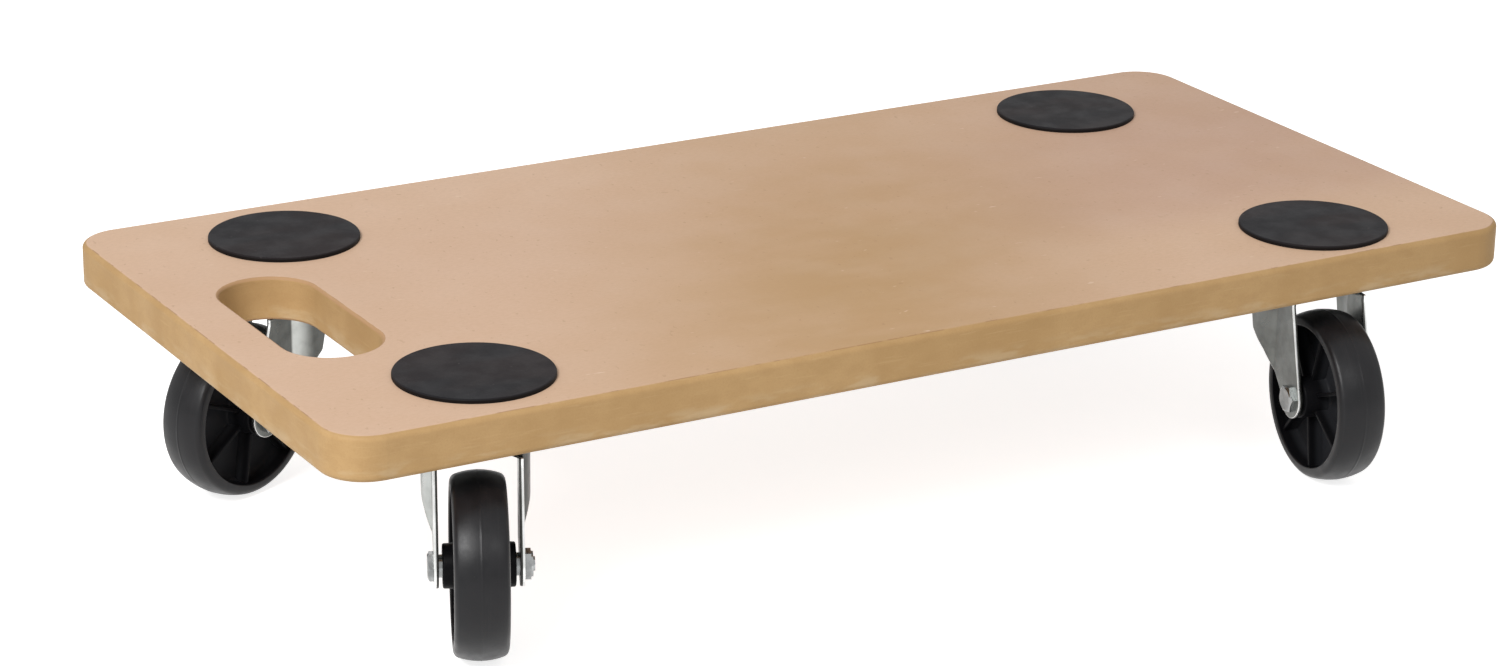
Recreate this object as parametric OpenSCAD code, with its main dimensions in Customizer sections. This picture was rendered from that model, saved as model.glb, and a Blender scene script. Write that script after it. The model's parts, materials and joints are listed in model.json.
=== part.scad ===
// Furniture dolly: a thick board with a hand hole and four grip pads, on four plate swivel casters.
// Millimetres. Origin on the floor under the middle of the board, X along the board, Z up.
// The hand hole is at the -X end, and the -Y long side is the front.
// A caster is drawn with its swivel axis on the Z axis and its wheel towards +X.

/* [Board] */
// Length of the board, along X
board_length = 579.1; // [540:0.1:640]
// Width of the board, along Y
board_width = 284.5; // [270:0.1:340]
// Thickness of the board
board_thickness = 19.5; // [18:0.5:22]
// Height from the floor to the board's top face
top_height = 109.2; // [108:0.1:114]
// Radius of the board's corners in plan
corner_radius = 20; // [12:0.5:26]
// Radius of the rounding along the board's top and bottom edges
edge_radius = 2.5; // [1:0.5:4]

/* [Hand hole] */
// Length of the hand hole, along Y
hole_length = 105.4; // [90:0.1:110]
// Width of the hand hole, along X
hole_width = 42.2; // [34:0.1:44]
// Distance from the board's end to the middle of the hand hole
hole_inset = 46.2; // [45:0.1:50]
// How far off the board's middle line the hand hole was cut, along Y
hole_shift = -1.6; // [-4:0.1:4]
// Rounding of the hand hole's edges
hole_edge_radius = 1.6; // [1:0.1:3]

/* [Grip pads] */
// Diameter of a grip pad
pad_diameter = 66.6; // [40:0.2:68]
// Thickness of a grip pad
pad_thickness = 1.9; // [1.5:0.1:4]
// Rounding of a pad's upper rim
pad_rim_radius = 0.8; // [0.4:0.1:1.2]
// Distance of the front left pad's middle from the board's middle, along X
front_left_pad_x = 210; // [195:0.1:214]
// Distance of the front left pad's middle from the board's middle, along Y
front_left_pad_y = 98; // [88:0.1:104]
// Distance of the front right pad's middle from the board's middle, along X
front_right_pad_x = 205.8; // [195:0.1:214]
// Distance of the front right pad's middle from the board's middle, along Y
front_right_pad_y = 103.2; // [88:0.1:104]
// Distance of the back left pad's middle from the board's middle, along X
back_left_pad_x = 207.6; // [195:0.1:214]
// Distance of the back left pad's middle from the board's middle, along Y
back_left_pad_y = 94.5; // [88:0.1:104]
// Distance of the back right pad's middle from the board's middle, along X
back_right_pad_x = 205.6; // [195:0.1:214]
// Distance of the back right pad's middle from the board's middle, along Y
back_right_pad_y = 94.4; // [88:0.1:104]

/* [Caster places] */
// Distance of a swivel axis from the board's middle, along X
caster_x = 205.6; // [190:0.1:210]
// Distance of a swivel axis from the board's middle, along Y
caster_y = 95.2; // [85:0.1:98]
// How far the front left caster was screwed on out of line, along X
front_left_shift_x = -2.4; // [-3:0.1:3]
// How far the front left caster was screwed on out of line, along Y
front_left_shift_y = 1.3; // [-3:0.1:3]
// How far the back left caster was screwed on out of line, along X
back_left_shift_x = -1.1; // [-3:0.1:3]
// How far the back left caster was screwed on out of line, along Y
back_left_shift_y = 0.6; // [-3:0.1:3]
// Way the front left caster points at rest, in degrees anticlockwise from +X
heading_front_left = 246; // [0:0.2:360]
// Way the front right caster points at rest
heading_front_right = 259.6; // [0:0.2:360]
// Way the back left caster points at rest
heading_back_left = 204; // [0:0.2:360]
// Way the back right caster points at rest
heading_back_right = 100.4; // [0:0.2:360]

/* [Wheels] */
// Diameter of a wheel
wheel_diameter = 77; // [75:0.1:78]
// Width of the tread
wheel_width = 22.3; // [18:0.1:24]
// Radius of the tread's crown, across its width
tread_crown = 28; // [24:1:60]
// Rounding where the tread meets the side faces
shoulder_radius = 3; // [2:0.1:4]
// Diameter of the recess in each side face
recess_diameter = 64; // [56:0.5:66]
// Thickness of the web between the two recesses
web_thickness = 5; // [3:0.5:8]
// Number of radial ribs in each recess
rib_count = 7; // [5:1:12]
// Turn of the first rib below the way that the caster points, in degrees
rib_turn = -22; // [-60:1:60]
// Thickness of a rib
rib_thickness = 1.6; // [1:0.1:2.5]
// Depth of a rib's edge below the side face
rib_drop = 1.8; // [1:0.1:4]
// Diameter of the hub boss
boss_diameter = 18.2; // [15:0.1:20]
// Length of the hub boss along the axle
boss_length = 29.4; // [26:0.1:30]

/* [Forks] */
// Horizontal distance from the swivel axis to the axle
trail = 33.4; // [32.5:0.1:35]
// Thickness of the fork's steel sheet
fork_sheet = 1.9; // [1.6:0.1:2]
// Distance between the outer faces of the two legs
fork_width = 36.4; // [35.4:0.1:37]
// Radius of the fork's bulging shoulders in plan
shoulder_bulge = 22.2; // [21.2:0.1:23]
// Distance of the bulge's middle ahead of the swivel axis
bulge_forward = 4.5; // [4:0.5:7]
// Height of the short skirt round the back of the crown
skirt_height = 74; // [73:0.5:76]
// Distance of the legs' rear edge ahead of the swivel axis
leg_rear = 1.6; // [0:0.1:3]
// Height of the lower corner of that rear edge
leg_rear_height = 62; // [60:0.5:64]
// Distance ahead of the swivel axis at which a leg's rear edge turns steeper
elbow_reach = 11; // [9:0.5:13]
// Height of that turn
elbow_height = 54.8; // [53:0.2:57]
// Distance ahead of the swivel axis at which the rear edge turns in to the round end
waist_reach = 18.5; // [17:0.5:20]
// Height of that turn
waist_height = 45; // [43:0.5:47]
// Radius of a leg's round lower end
leg_end_radius = 8.7; // [8:0.1:10]
// Distance of a leg's front edge ahead of the swivel axis, at the crown
leg_top_reach = 30.5; // [28.5:0.1:33]
// Distance of the crown's front edge ahead of the swivel axis
crown_reach = 18.8; // [18.4:0.1:26]

/* [Swivel bearings] */
// Thickness of the steel of the top plate
plate_thickness = 2; // [1.8:0.1:2.2]
// Length of each side of the square top plate
plate_size = 64; // [60:1:68]
// Distance between neighbouring screws
screw_spacing = 48; // [44:1:50]
// Distance from the plate's underside down to the crown's upper face
crown_drop = 5; // [4.8:0.1:5.3]
// Thickness of the fork's crown
crown_thickness = 2; // [1.8:0.1:2.2]
// Diameter of an upper ball
upper_ball_diameter = 4; // [3.7:0.1:4.2]
// Radius of the circle on which the upper balls run
upper_ball_circle = 15; // [14:0.1:15.5]
// Number of upper balls
upper_ball_count = 20; // [12:1:20]
// Diameter of a lower ball
lower_ball_diameter = 3.2; // [3:0.1:3.3]
// Radius of the circle on which the lower balls run
lower_ball_circle = 8; // [7.8:0.1:8.4]
// Number of lower balls
lower_ball_count = 13; // [8:1:14]

/* [Fasteners] */
// Diameter of the kingpin
kingpin_diameter = 8; // [7:0.1:8.4]
// Diameter of the axle bolt
axle_diameter = 6; // [5:0.1:6.5]
// Outer diameter of the axle sleeve that the wheel turns on
sleeve_diameter = 9.5; // [8.5:0.1:10.5]
// Width across flats of the axle bolt's head and nut
hex_width = 11.1; // [10:0.1:11.6]
// Diameter of a plate screw's shank
screw_diameter = 4; // [3.5:0.1:4.5]
// Length of a plate screw under its head
screw_length = 16; // [12:0.5:18]

/* [Clearances] */
// Radial clearance where one piece turns on another
running_clearance = 0.05; // [0.02:0.01:0.1]
// Clearance round a piece that is pressed or riveted in place
seat_clearance = 0.02; // [0:0.01:0.05]
// Radial clearance of a screw or bolt in a hole
hole_clearance = 0.2; // [0.1:0.05:0.4]
// Play between a ball and the groove that turns over it
ball_play = 0.1; // [0.05:0.01:0.15]

/* [Hidden] */
$fn = 96;
// How far a cutting shape passes the face that it cuts
cut = 1;
// Length that passes clean through any piece of a caster
through = 160;

board_bottom = top_height - board_thickness;
hole_x = -board_length / 2 + hole_inset;

wheel_radius = wheel_diameter / 2;
recess_radius = recess_diameter / 2;
shoulder_place = wheel_width / 2 - shoulder_radius;
tread_centre = wheel_radius - tread_crown;
shoulder_centre = tread_centre + sqrt(pow(tread_crown - shoulder_radius, 2) - pow(shoulder_place, 2));
boss_radius = boss_diameter / 2;

leg_outer = fork_width / 2;
leg_inner = leg_outer - fork_sheet;
bulge_inner = shoulder_bulge - fork_sheet;

plate_bottom = board_bottom - plate_thickness;
crown_top = plate_bottom - crown_drop;
crown_bottom = crown_top - crown_thickness;

// Depths of the ball grooves, and the heights of everything that follows from the balls
upper_groove = 0.8;
lower_groove = 0.5;
upper_ball_z = crown_top - upper_groove + upper_ball_diameter / 2;
dish_bottom = upper_ball_z + upper_ball_diameter / 2 + ball_play - upper_groove;
dish_top = dish_bottom + plate_thickness;
lower_ball_z = crown_bottom + lower_groove - lower_ball_diameter / 2;
cup_thickness = 1.4;
cup_top = lower_ball_z - lower_ball_diameter / 2 - ball_play + lower_groove;
cup_bottom = cup_top - cup_thickness;
cup_radius = 11.4;
cup_lip = 1.1;
cup_lip_gap = 0.6;

// The top plate's dish: radius of its flat middle and of its mouth, and the plate's corner rounding
dish_radius = 18.5;
dish_mouth_radius = 23;
plate_corner_radius = 7;

kingpin_radius = kingpin_diameter / 2;
kingpin_head_radius = 7;
kingpin_head_height = 1.8;
rivet_radius = 5.6;
rivet_height = 1.4;

screw_radius = screw_diameter / 2;
screw_head_radius = 4.4;
screw_head_rim = 4.1;
screw_head_height = 2.4;
cross_length = 4.6;
cross_width = 1;
cross_depth = 1.4;

axle_radius = axle_diameter / 2;
sleeve_radius = sleeve_diameter / 2;
bolt_head_height = 2.6;
// Radius of the flat face of the bolt's head, drop of its rim at the corners, and turn of the head
bolt_face_radius = 4.9;
bolt_face_drop = 0.9;
bolt_turn = -10;
nut_height = 3.4;
nut_collar_height = 0.8;
nut_collar_inset = 0.6;
bolt_tail = 0.8;

// Name, swivel axis, heading and pad place of each corner
CORNERS = [
    ["front_left", [-caster_x + front_left_shift_x, -caster_y + front_left_shift_y],
     heading_front_left, [-front_left_pad_x, -front_left_pad_y]],
    ["front_right", [caster_x, -caster_y],
     heading_front_right, [front_right_pad_x, -front_right_pad_y]],
    ["back_left", [-caster_x + back_left_shift_x, caster_y + back_left_shift_y],
     heading_back_left, [-back_left_pad_x, back_left_pad_y]],
    ["back_right", [caster_x, caster_y],
     heading_back_right, [back_right_pad_x, back_right_pad_y]]
];
CORNER_PIECES = [
    "grip_pad", "top_plate", "plate_screws", "kingpin", "race_cup", "upper_balls", "lower_balls",
    "fork", "wheel", "axle_sleeve", "axle_bolt", "axle_nut"
];

// ---- Places ----

module at_pad(corner) {
    translate([corner[3][0], corner[3][1], top_height]) children();
}

module at_swivel(corner) {
    translate([corner[1][0], corner[1][1], 0]) rotate(corner[2]) children();
}

// Where a top plate's screws go: the plate lies square to the board, whatever way the fork points
module at_screws() {
    for (x = [-1, 1], y = [-1, 1])
        translate([x * screw_spacing / 2, y * screw_spacing / 2, 0]) children();
}

module at_plate(corner) {
    translate([corner[1][0], corner[1][1], 0]) children();
}

// The axle's axis becomes the children's Z axis, which points to the bolt's tail
module on_axle() {
    translate([trail, 0, wheel_radius]) rotate([-90, 0, 0]) children();
}

// ---- Shared shapes ----

module rounded_square(size, radius) {
    inner = [size[0] - 2 * radius, size[1] - 2 * radius];
    square([size[0], inner[1]], center = true);
    square([inner[0], size[1]], center = true);
    for (x = [-1, 1], y = [-1, 1]) translate([x * inner[0] / 2, y * inner[1] / 2]) circle(radius);
}

module tube(outer, bore, height) {
    difference() {
        cylinder(r = outer, h = height);
        translate([0, 0, -cut]) cylinder(r = bore, h = height + 2 * cut);
    }
}

// Ring-shaped groove that is cut into a flat face at height z, by balls of the given radius
module ball_groove(circle_radius, ball_radius, z, depth, from_above) {
    side = from_above ? 1 : -1;
    section = ball_radius + ball_play;
    translate([0, 0, z + side * (section - depth)])
        rotate_extrude() translate([circle_radius, 0]) circle(section, $fn = 48);
}

module ball_ring(circle_radius, diameter, z, count) {
    for (i = [0 : count - 1])
        rotate(i * 360 / count) translate([circle_radius, 0, z]) sphere(d = diameter, $fn = 32);
}

module hexagon_prism(across_flats, height) {
    cylinder(d = across_flats / cos(30), h = height, $fn = 6);
}

// ---- Board and pads ----

// Outline of a straight stretch of the board's edge: x from 0 to reach, with its outer corners rounded
module edge_profile(reach) {
    core = board_thickness - 2 * edge_radius;
    square([reach - edge_radius, board_thickness]);
    translate([0, edge_radius]) square([reach, core]);
    for (z = [edge_radius, board_thickness - edge_radius])
        translate([reach - edge_radius, z]) circle(edge_radius, $fn = 48);
}

module board_corner() {
    rotate_extrude(angle = 90) intersection() {
        edge_profile(corner_radius);
        square([corner_radius, board_thickness]);
    }
}

// The board is a middle slab with its long edges rounded, two end strips and four corners
module board_slab() {
    middle = board_length - 2 * corner_radius;
    side = board_width - 2 * corner_radius;
    for (y = [0, 1]) mirror([0, y, 0])
        translate([-middle / 2, 0, 0]) rotate([90, 0, 90]) linear_extrude(middle)
            intersection() {
                edge_profile(board_width / 2);
                square([board_width / 2, board_thickness]);
            }
    for (x = [0, 1]) mirror([x, 0, 0]) {
        translate([middle / 2, side / 2, 0]) rotate([90, 0, 0]) linear_extrude(side)
            intersection() {
                edge_profile(corner_radius);
                square([corner_radius, board_thickness]);
            }
        for (y = [0, 1]) mirror([0, y, 0]) translate([middle / 2, side / 2, 0]) board_corner();
    }
}

// What the rounding of one edge of the hand hole takes away, beyond the hole's own wall at x = 0
module hole_flare_profile() {
    difference() {
        translate([-cut, -hole_edge_radius]) square([cut + hole_edge_radius, hole_edge_radius + cut]);
        translate([hole_edge_radius, -hole_edge_radius]) circle(hole_edge_radius, $fn = 48);
    }
}

module hole_flare() {
    radius = hole_width / 2;
    straight = hole_length - hole_width;
    for (side = [0, 180]) rotate(side) {
        translate([0, straight / 2, 0]) rotate_extrude(angle = 180)
            translate([radius, 0]) hole_flare_profile();
        translate([radius, straight / 2, 0]) rotate([90, 0, 0]) linear_extrude(straight)
            hole_flare_profile();
    }
}

module hand_hole() {
    straight = hole_length - hole_width;
    translate([0, 0, -cut]) linear_extrude(board_thickness + 2 * cut) {
        square([hole_width, straight], center = true);
        for (y = [-1, 1]) translate([0, y * straight / 2]) circle(d = hole_width);
    }
    translate([0, 0, board_thickness]) hole_flare();
    mirror([0, 0, 1]) hole_flare();
}

module deck_board() {
    color("#CBAA8C") difference() {
        translate([0, 0, board_bottom]) board_slab();
        translate([hole_x, hole_shift, board_bottom]) hand_hole();
        for (corner = CORNERS) at_plate(corner) at_screws()
            translate([0, 0, board_bottom - cut])
                cylinder(r = screw_radius + seat_clearance, h = screw_length - plate_thickness + cut);
    }
}

module grip_pad() {
    radius = pad_diameter / 2;
    color("#3C3838") rotate_extrude() {
        square([radius, pad_thickness - pad_rim_radius]);
        square([radius - pad_rim_radius, pad_thickness]);
        translate([radius - pad_rim_radius, pad_thickness - pad_rim_radius])
            circle(pad_rim_radius, $fn = 32);
    }
}

// ---- Fixed part of a caster ----

// Half section of the plate's dish, from the kingpin out to the flat plate
module dish_profile() {
    slope = dish_mouth_radius - dish_radius;
    bore = kingpin_radius + seat_clearance;
    polygon([
        [bore, dish_bottom], [dish_radius, dish_bottom],
        [dish_mouth_radius, plate_bottom], [dish_mouth_radius, board_bottom],
        [dish_mouth_radius - slope * plate_thickness / (board_bottom - dish_bottom), board_bottom],
        [dish_radius - slope * plate_thickness / (board_bottom - dish_bottom), dish_top],
        [bore, dish_top]
    ]);
}

module top_plate() {
    color("#B9BCBF") difference() {
        union() {
            translate([0, 0, plate_bottom]) linear_extrude(plate_thickness) difference() {
                rounded_square([plate_size, plate_size], plate_corner_radius);
                circle(dish_mouth_radius);
            }
            rotate_extrude() dish_profile();
        }
        ball_groove(upper_ball_circle, upper_ball_diameter / 2, dish_bottom, upper_groove, false);
        at_screws() translate([0, 0, plate_bottom - cut])
            cylinder(r = screw_radius + hole_clearance, h = plate_thickness + 2 * cut);
    }
}

// One pan head screw, with its head under the plate
module plate_screw() {
    translate([0, 0, plate_bottom]) cylinder(r = screw_radius, h = screw_length);
    difference() {
        translate([0, 0, plate_bottom - screw_head_height]) rotate_extrude() intersection() {
            translate([0, screw_head_radius]) circle(screw_head_radius, $fn = 64);
            square([screw_head_rim, screw_head_height]);
        }
        for (turn = [0, 90]) rotate(turn)
            translate([-cross_length / 2, -cross_width / 2, plate_bottom - screw_head_height - cut])
                cube([cross_length, cross_width, cross_depth + cut]);
    }
}

module plate_screws() {
    color("#A9ACAF") at_screws() plate_screw();
}

module kingpin() {
    color("#AEB1B4") {
        translate([0, 0, cup_bottom]) cylinder(r = kingpin_radius, h = dish_top - cup_bottom);
        translate([0, 0, dish_top]) cylinder(r = kingpin_head_radius, h = kingpin_head_height);
        translate([0, 0, cup_bottom - rivet_height]) cylinder(r = rivet_radius, h = rivet_height);
    }
}

module race_cup() {
    lip_height = crown_bottom - cup_lip_gap - cup_bottom;
    color("#B4B7BA") difference() {
        translate([0, 0, cup_bottom]) {
            tube(cup_radius, kingpin_radius + seat_clearance, cup_thickness);
            tube(cup_radius, cup_radius - cup_lip, lip_height);
        }
        ball_groove(lower_ball_circle, lower_ball_diameter / 2, cup_top, lower_groove, true);
    }
}

// ---- Swivelling part of a caster ----

module upper_balls() {
    color("#C9CBCD") ball_ring(upper_ball_circle, upper_ball_diameter, upper_ball_z, upper_ball_count);
}

module lower_balls() {
    color("#C9CBCD") ball_ring(lower_ball_circle, lower_ball_diameter, lower_ball_z, lower_ball_count);
}

// The fork from above: a long round shoulder that runs into two straight legs
module fork_plan(radius, half_width) {
    circle(radius);
    translate([bulge_forward, 0]) circle(radius);
    translate([0, -radius]) square([bulge_forward, 2 * radius]);
    translate([bulge_forward, -half_width]) square([through, 2 * half_width]);
}

// The fork from the side: a short skirt at the back, then a leg that narrows to a round end at the axle
module fork_side() {
    translate([-through, skirt_height]) square([through + leg_rear, through]);
    polygon([
        [leg_rear - cut, skirt_height + cut], [leg_rear, leg_rear_height], [elbow_reach, elbow_height],
        [waist_reach, waist_height], [trail - leg_end_radius, wheel_radius],
        [trail + leg_end_radius, wheel_radius], [leg_top_reach, crown_top + cut],
        [leg_rear - cut, crown_top + cut]
    ]);
    translate([trail, wheel_radius]) circle(leg_end_radius);
}

module fork_walls() {
    intersection() {
        linear_extrude(crown_top) difference() {
            fork_plan(shoulder_bulge, leg_outer);
            fork_plan(bulge_inner, leg_inner);
        }
        translate([0, through / 2, 0]) rotate([90, 0, 0]) linear_extrude(through) fork_side();
    }
}

module crown() {
    translate([0, 0, crown_bottom]) linear_extrude(crown_thickness) intersection() {
        fork_plan(shoulder_bulge - fork_sheet / 2, leg_outer - fork_sheet / 2);
        translate([-through, -through / 2]) square([through + crown_reach, through]);
    }
}

module fork() {
    color("#A7A9AC") difference() {
        union() {
            fork_walls();
            crown();
        }
        translate([0, 0, crown_bottom - cut])
            cylinder(r = kingpin_radius + running_clearance, h = crown_thickness + 2 * cut);
        ball_groove(upper_ball_circle, upper_ball_diameter / 2, crown_top, upper_groove, true);
        ball_groove(lower_ball_circle, lower_ball_diameter / 2, crown_bottom, lower_groove, false);
        on_axle() translate([0, 0, -through / 2])
            cylinder(r = axle_radius + hole_clearance, h = through);
    }
}

// ---- Wheel and axle ----

// Half section of the wheel, from its bore out to the tread
module wheel_profile() {
    half = wheel_width / 2;
    lean = atan2(shoulder_place, shoulder_centre - tread_centre);
    far = 2 * tread_crown;
    translate([recess_radius, -half]) square([shoulder_centre - recess_radius, wheel_width]);
    intersection() {
        union() {
            intersection() {
                translate([tread_centre, 0]) circle(tread_crown, $fn = 180);
                polygon([
                    [tread_centre, 0], [tread_centre + far * cos(lean), -far * sin(lean)],
                    [tread_centre + far * cos(lean), far * sin(lean)]
                ]);
            }
            for (side = [-1, 1])
                translate([shoulder_centre, side * shoulder_place]) circle(shoulder_radius, $fn = 64);
        }
        translate([recess_radius, -half]) square([wheel_radius - recess_radius, wheel_width]);
    }
    translate([0, -web_thickness / 2]) square([recess_radius + cut, web_thickness]);
    translate([0, -boss_length / 2]) square([boss_radius, boss_length]);
}

module wheel_ribs() {
    rib_half = wheel_width / 2 - rib_drop;
    for (i = [0 : rib_count - 1]) rotate(rib_turn + i * 360 / rib_count)
        translate([boss_radius - cut, -rib_thickness / 2, -rib_half])
            cube([recess_radius - boss_radius + 2 * cut, rib_thickness, 2 * rib_half]);
}

module wheel() {
    color("#2C2B2D") on_axle() difference() {
        union() {
            rotate_extrude() wheel_profile();
            wheel_ribs();
        }
        translate([0, 0, -through / 2])
            cylinder(r = sleeve_radius + running_clearance, h = through);
    }
}

module axle_sleeve() {
    color("#C4C6C8") on_axle() translate([0, 0, -leg_inner])
        tube(sleeve_radius, axle_radius + seat_clearance, 2 * leg_inner);
}

module axle_bolt() {
    shank = 2 * leg_outer + nut_height + bolt_tail;
    color("#D2D4D6") on_axle() translate([0, 0, -leg_outer]) {
        cylinder(r = axle_radius, h = shank);
        translate([0, 0, -bolt_head_height]) rotate(bolt_turn) intersection() {
            hexagon_prism(hex_width, bolt_head_height);
            rotate_extrude() polygon([
                [0, 0], [bolt_face_radius, 0], [hex_width / 2 / cos(30), bolt_face_drop],
                [hex_width, bolt_head_height], [0, bolt_head_height]
            ]);
        }
    }
}

module axle_nut() {
    body = nut_height - nut_collar_height;
    color("#C8CACC") on_axle() translate([0, 0, leg_outer]) difference() {
        union() {
            hexagon_prism(hex_width, body);
            cylinder(d = hex_width - nut_collar_inset, h = nut_height);
        }
        translate([0, 0, -cut]) cylinder(r = axle_radius + seat_clearance, h = nut_height + 2 * cut);
    }
}

// ---- The pieces, each drawn when its node is asked for ----

deck_board();
for (corner = CORNERS) {
    at_pad(corner) grip_pad();
    at_plate(corner) top_plate();
    at_plate(corner) plate_screws();
    at_plate(corner) kingpin();
    at_plate(corner) race_cup();
    at_swivel(corner) upper_balls();
    at_swivel(corner) lower_balls();
    at_swivel(corner) fork();
    at_swivel(corner) wheel();
    at_swivel(corner) axle_sleeve();
    at_swivel(corner) axle_bolt();
    at_swivel(corner) axle_nut();
}
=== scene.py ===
import json
import math

import bmesh
import bpy
import numpy as np
from mathutils import Matrix, Vector


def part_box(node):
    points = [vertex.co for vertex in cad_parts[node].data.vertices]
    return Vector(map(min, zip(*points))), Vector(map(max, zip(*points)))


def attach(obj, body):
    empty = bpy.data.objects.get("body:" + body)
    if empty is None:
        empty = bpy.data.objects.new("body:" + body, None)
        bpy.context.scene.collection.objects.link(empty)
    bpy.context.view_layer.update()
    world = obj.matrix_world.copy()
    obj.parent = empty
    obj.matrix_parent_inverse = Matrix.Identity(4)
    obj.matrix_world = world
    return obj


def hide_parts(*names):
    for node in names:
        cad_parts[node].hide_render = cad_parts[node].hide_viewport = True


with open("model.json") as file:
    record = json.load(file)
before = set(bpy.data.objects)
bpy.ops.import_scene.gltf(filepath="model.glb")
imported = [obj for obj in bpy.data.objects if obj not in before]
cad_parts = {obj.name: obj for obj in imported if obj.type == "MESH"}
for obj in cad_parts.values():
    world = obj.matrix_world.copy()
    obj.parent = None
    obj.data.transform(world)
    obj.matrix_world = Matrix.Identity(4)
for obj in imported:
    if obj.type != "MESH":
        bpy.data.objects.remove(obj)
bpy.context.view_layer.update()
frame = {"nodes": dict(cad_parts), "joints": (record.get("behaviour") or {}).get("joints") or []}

MM = 0.001
CORNERS = ("front_left", "front_right", "back_left", "back_right")
JOINTS = {joint["name"]: joint for joint in frame["joints"]}
BOARD_LOW, BOARD_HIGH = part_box("deck_board")

# The point attribute that holds each point's place on its pattern, in the pattern's own frame
OWN_PLACE = "own_place"

# Widths in metres of the streaks that rolling leaves in sheet, and of the finer ones on turned steel
ROLLED_STREAK = 0.0005
TURNED_STREAK = 0.0003

# The darker slanting band of painted shade across the board's faces: its place along the middle line, in
# metres, and its slant
PAINTED_SHADE_X = 0.02
PAINTED_SHADE_SLANT = 0.5

# Sizes of the pressed fork, in millimetres, as in the CAD source. A fork is drawn with its swivel axis
# on the Z axis and its legs towards +X.
TRAIL = 33.4
AXLE_HEIGHT = 38.5
FORK_SHEET = 1.9
LEG_OUTER = 18.2
SHOULDER_RADIUS = 22.2
BULGE_FORWARD = 4.5
CREASE_RADIUS = 2.0
BEND_RADIUS = 2.5
CROWN_TOP = 82.7
CROWN_REACH = 18.8
SKIRT_HEIGHT = 74.0
SKIRT_REACH = 1.4
LEG_REAR = 1.6
LEG_REAR_HEIGHT = 62.0
ELBOW = (11.0, 54.8)
WAIST = (18.5, 45.0)
LEG_TOP_REACH = 30.5
LEG_END_RADIUS = 8.7
KINGPIN_BORE = 4.05
AXLE_HOLE = 3.2

# From the fork's own frame to the middle of its axle, in metres
AXLE_MIDDLE = Matrix.Translation(Vector((TRAIL, 0, AXLE_HEIGHT)) * MM)

# Radius, half width and depth of the grooves that the two rings of balls run in, and the radius at which
# the round rings of the crown's faces begin
UPPER_GROOVE, UPPER_GROOVE_HALF, UPPER_GROOVE_DEPTH = 15.0, 2.1, 0.8
LOWER_GROOVE, LOWER_GROOVE_HALF, LOWER_GROOVE_DEPTH = 8.0, 1.7, 0.5
BALL_RACE_RIM = 18.3

# Finer forms of the fork's sheet: how far its cut edge swells, the length over which a leg's upper edge
# straightens in front of the crown, and how sharply the crown's front runs out into the legs
RIM_BULGE = 0.3
STANDING_UP = 4.0
CORNER_SHARPNESS = 60

# How closely the fork is divided: spacing in mm along its lower edge, then steps across each form
EDGE_SPACING = 0.9
BEND_STEPS = 6
WALL_STEPS = 16
CROWN_FRONT_STEPS = 48
CROWN_RINGS = 30
RIM_STEPS = 6

# Sizes of the moulded wheel, in millimetres, as in the CAD source
WHEEL_RADIUS = 38.5
WHEEL_HALF = 11.15
TREAD_CROWN = 28.0
TREAD_SHOULDER = 3.0
RECESS_RADIUS = 32.0
WEB_HALF = 2.5
BOSS_RADIUS = 9.1
BOSS_HALF = 14.7
SLEEVE_BORE = 4.8
RIBS = 7
RIB_TURN = -22  # degrees
RIB_THICKNESS = 1.6
RIB_DROP = 1.8

# Finer forms of the wheel: the slope of the boss and of the recess's wall, the mould seam round the tread,
# and how far the ribs run into the boss and rim and are rounded
BOSS_FLARE = 0.4
RECESS_FOOT = RECESS_RADIUS - 0.5
RECESS_MOUTH = RECESS_RADIUS + 0.1
SEAM_HEIGHT = 0.08
SEAM_HALF = 0.3
RIB_ROOT = 1
RIB_ROUNDING = 0.4
WHEEL_SEGMENTS = 144

# Angles in degrees between faces, above which a mesh's edges are shaded sharp
FORK_SHARP = 32
WHEEL_SHARP = 35

# The world's light on the object, the white that is seen behind it and on the floor, and the distance in
# metres from the middle of the floor to its sides
WORLD_LIGHT = 0.42
BACKGROUND_WHITE = 1.0
FLOOR_WHITE = 0.78
FLOOR_REACH = 15.0


# ---- Node materials ----

def srgb(red, green, blue):
    """A colour given as 0 to 255 screen values, as the linear RGBA that a shader takes."""
    def linear(value):
        value /= 255
        return value / 12.92 if value <= 0.04045 else ((value + 0.055) / 1.055) ** 2.4
    return (linear(red), linear(green), linear(blue), 1.0)


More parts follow.
